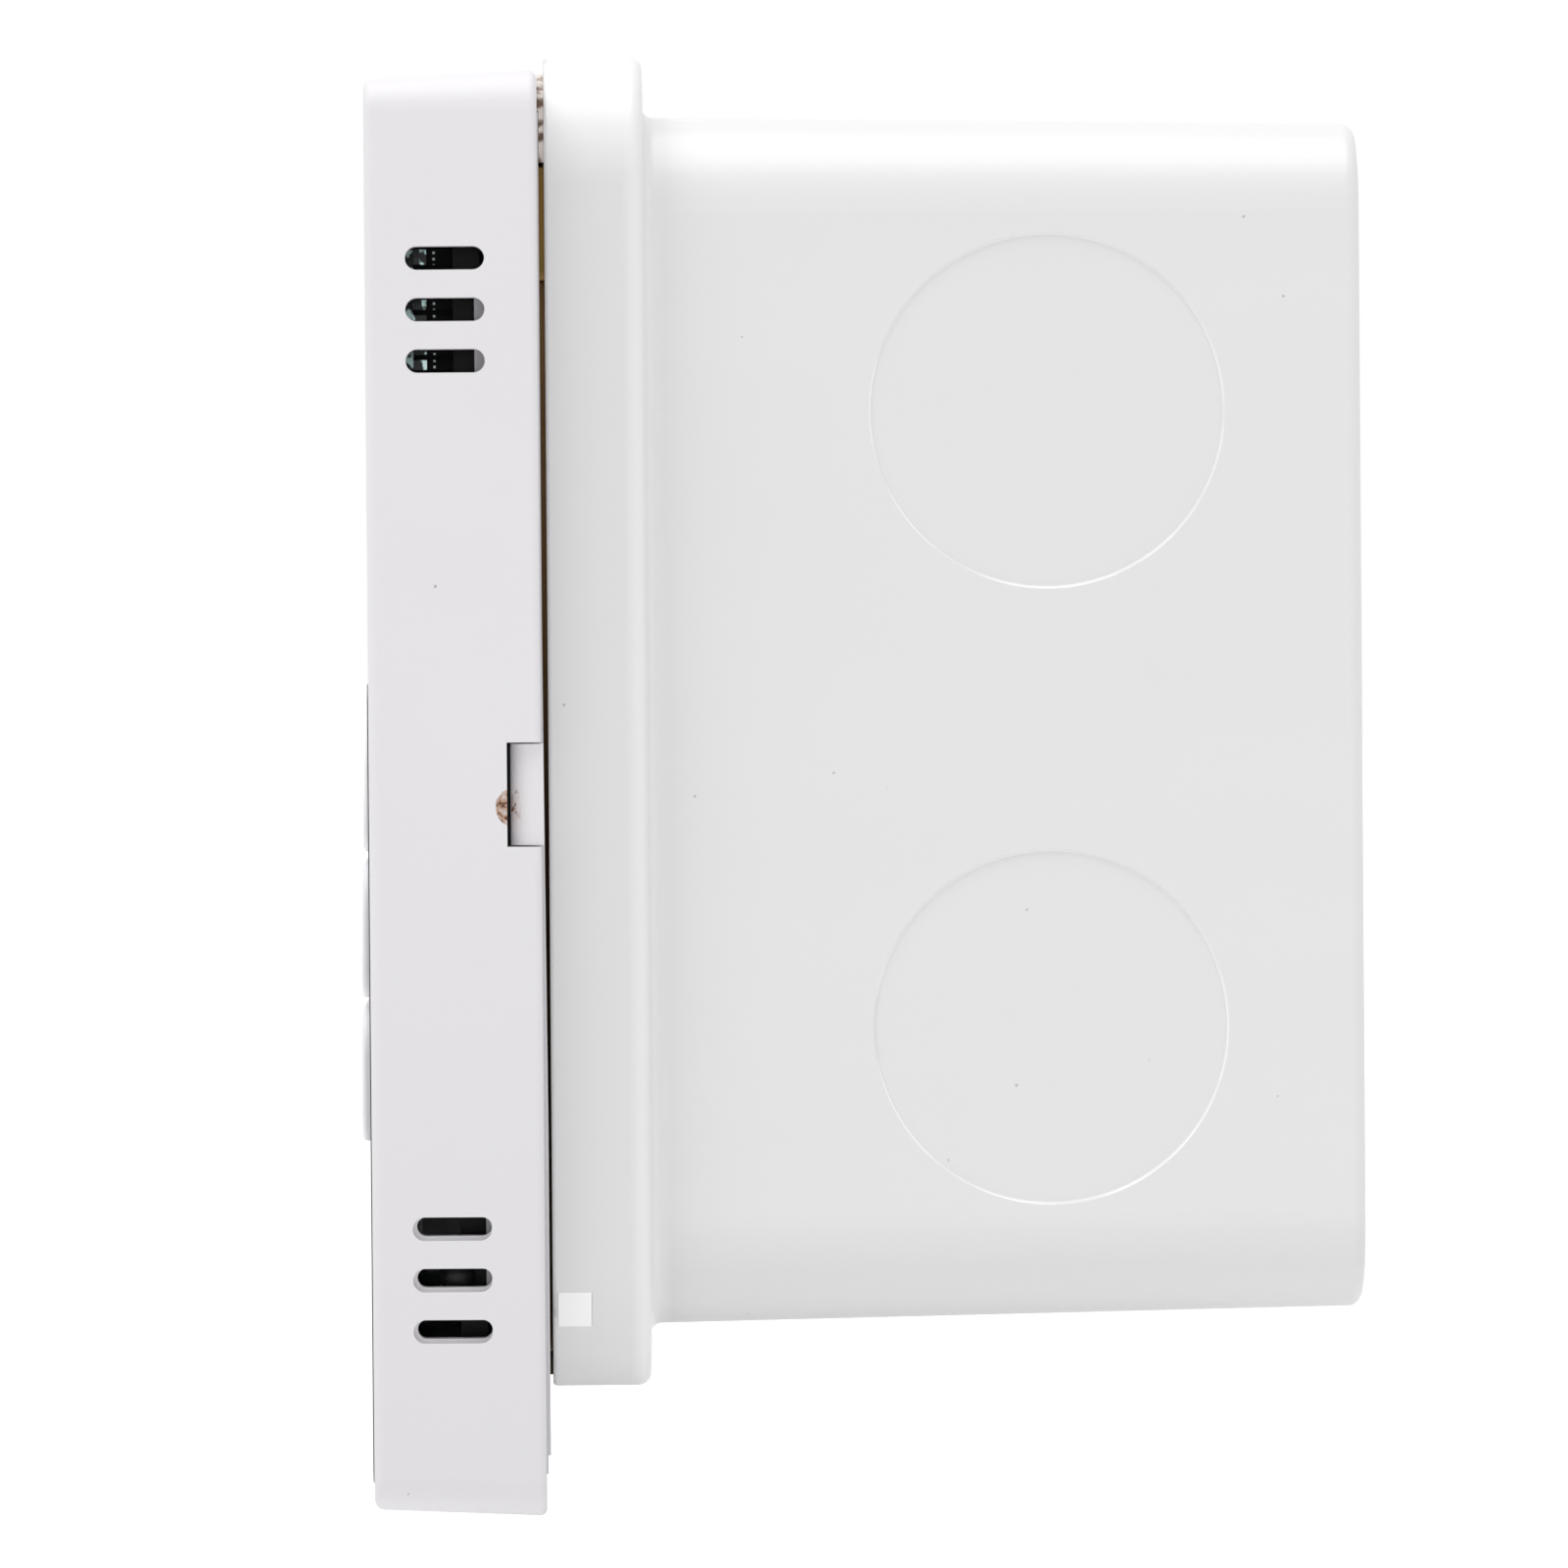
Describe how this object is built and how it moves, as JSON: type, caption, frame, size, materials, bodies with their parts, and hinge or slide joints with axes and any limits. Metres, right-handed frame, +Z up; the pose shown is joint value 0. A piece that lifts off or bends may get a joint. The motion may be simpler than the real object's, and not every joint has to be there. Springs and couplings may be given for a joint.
{
  "type": "wall thermostat",
  "caption": "Square digital wall thermostat with side vents, push keys and a pull-off front, screwed to a flush wall box with round cable knockouts.",
  "frame": {"origin": "centre of the wall box's back face, midway between its two fixing holes", "axes": "+X to the right of someone facing the thermostat, +Y into the wall, +Z up"},
  "size_m": [0.086, 0.0603, 0.0872],
  "materials": {
    "white_abs": "fine spark texture, satin",
    "plug_silicone": "matte",
    "foam_tape": "crumpled foam tape",
    "key_abs": "satin",
    "box_pvc": "smooth moulded, slight sheen",
    "passivated_steel": "yellow zinc passivated sheet",
    "zinc_steel": "bright zinc plated",
    "smoked_acrylic": "polished, back printed",
    "clear_acrylic": "polished clear",
    "display_glass": "polished, polariser film on both sides",
    "light_guide": "polished diffusing acrylic",
    "oxidised_pins": "black oxide",
    "circuit_board": "solder mask over copper",
    "black_epoxy": "moulded epoxy",
    "relay_case": "moulded case",
    "transformer_potting": "potted and taped",
    "film_box": "moulded box",
    "can_sleeve": "shrink sleeve on aluminium",
    "varistor_coat": "dipped epoxy",
    "fuse_case": "moulded case",
    "terminal_nylon": "moulded nylon",
    "nickel_brass": "nickel plated",
    "crystal_can": "drawn can",
    "sensor_epoxy": "dipped epoxy bead"
  },
  "bodies": {
    "base": {"wall_box": "box_pvc", "link_plugs": "plug_silicone", "seal_strip": "foam_tape", "box_nuts": "zinc_steel", "mounting_screws": "zinc_steel", "mount_frame": "passivated_steel", "frame_screws": "zinc_steel", "back_plate": "white_abs", "power_board": "circuit_board", "power_board_screws": "zinc_steel", "relay": "relay_case", "supply_transformer": "transformer_potting", "filter_capacitor": "film_box", "smoothing_capacitors": "can_sleeve", "varistor": "varistor_coat", "fuse": "fuse_case", "terminal_block": "terminal_nylon", "terminal_clamps": "nickel_brass", "terminal_screws": "zinc_steel", "header_socket": "black_epoxy"},
    "front_unit": {"front_cover": "white_abs", "front_panel": "smoked_acrylic", "lcd_window": "clear_acrylic", "lcd_glass": "display_glass", "lcd_backlight": "light_guide", "lcd_pins": "oxidised_pins", "main_board": "circuit_board", "main_board_screws": "zinc_steel", "controller_chip": "black_epoxy", "clock_crystal": "crystal_can", "room_sensor": "sensor_epoxy", "switch_bases": "black_epoxy", "pin_header": "black_epoxy"},
    "key_power": {"key_power": "key_abs"},
    "plunger_power": {"plunger_power": "black_epoxy"},
    "key_fan": {"key_fan": "key_abs"},
    "plunger_fan": {"plunger_fan": "black_epoxy"},
    "key_clock": {"key_clock": "key_abs"},
    "plunger_clock": {"plunger_clock": "black_epoxy"},
    "key_up": {"key_up": "key_abs"},
    "plunger_up": {"plunger_up": "black_epoxy"},
    "key_set": {"key_set": "key_abs"},
    "plunger_set": {"plunger_set": "black_epoxy"},
    "key_down": {"key_down": "key_abs"},
    "plunger_down": {"plunger_down": "black_epoxy"}
  },
  "joints": [
    {"name": "front_pull", "type": "slide", "parent": "base", "child": "front_unit", "axis": [0, -1, 0], "range_m": [0, 0.03]},
    {"name": "key_power_press", "type": "slide", "parent": "front_unit", "child": "key_power", "axis": [0, 1, 0], "range_m": [0, 0.0005], "stiffness_N_per_m": 400, "springref_m": -0.001},
    {"name": "plunger_power_press", "type": "slide", "parent": "front_unit", "child": "plunger_power", "axis": [0, 1, 0], "range_m": [0, 0.0006]},
    {"name": "key_fan_press", "type": "slide", "parent": "front_unit", "child": "key_fan", "axis": [0, 1, 0], "range_m": [0, 0.0005], "stiffness_N_per_m": 400, "springref_m": -0.001},
    {"name": "plunger_fan_press", "type": "slide", "parent": "front_unit", "child": "plunger_fan", "axis": [0, 1, 0], "range_m": [0, 0.0006]},
    {"name": "key_clock_press", "type": "slide", "parent": "front_unit", "child": "key_clock", "axis": [0, 1, 0], "range_m": [0, 0.0005], "stiffness_N_per_m": 400, "springref_m": -0.001},
    {"name": "plunger_clock_press", "type": "slide", "parent": "front_unit", "child": "plunger_clock", "axis": [0, 1, 0], "range_m": [0, 0.0006]},
    {"name": "key_up_press", "type": "slide", "parent": "front_unit", "child": "key_up", "axis": [0, 1, 0], "range_m": [0, 0.0005], "stiffness_N_per_m": 400, "springref_m": -0.001},
    {"name": "plunger_up_press", "type": "slide", "parent": "front_unit", "child": "plunger_up", "axis": [0, 1, 0], "range_m": [0, 0.0006]},
    {"name": "key_set_press", "type": "slide", "parent": "front_unit", "child": "key_set", "axis": [0, 1, 0], "range_m": [0, 0.0005], "stiffness_N_per_m": 400, "springref_m": -0.001},
    {"name": "plunger_set_press", "type": "slide", "parent": "front_unit", "child": "plunger_set", "axis": [0, 1, 0], "range_m": [0, 0.0006]},
    {"name": "key_down_press", "type": "slide", "parent": "front_unit", "child": "key_down", "axis": [0, 1, 0], "range_m": [0, 0.0005], "stiffness_N_per_m": 400, "springref_m": -0.001},
    {"name": "plunger_down_press", "type": "slide", "parent": "front_unit", "child": "plunger_down", "axis": [0, 1, 0], "range_m": [0, 0.0006]}
  ],
  "couplings": [
    {"joint": "plunger_power_press", "follows": "key_power_press", "ratio": 1},
    {"joint": "plunger_fan_press", "follows": "key_fan_press", "ratio": 1},
    {"joint": "plunger_clock_press", "follows": "key_clock_press", "ratio": 1},
    {"joint": "plunger_up_press", "follows": "key_up_press", "ratio": 1},
    {"joint": "plunger_set_press", "follows": "key_set_press", "ratio": 1},
    {"joint": "plunger_down_press", "follows": "key_down_press", "ratio": 1}
  ]
}
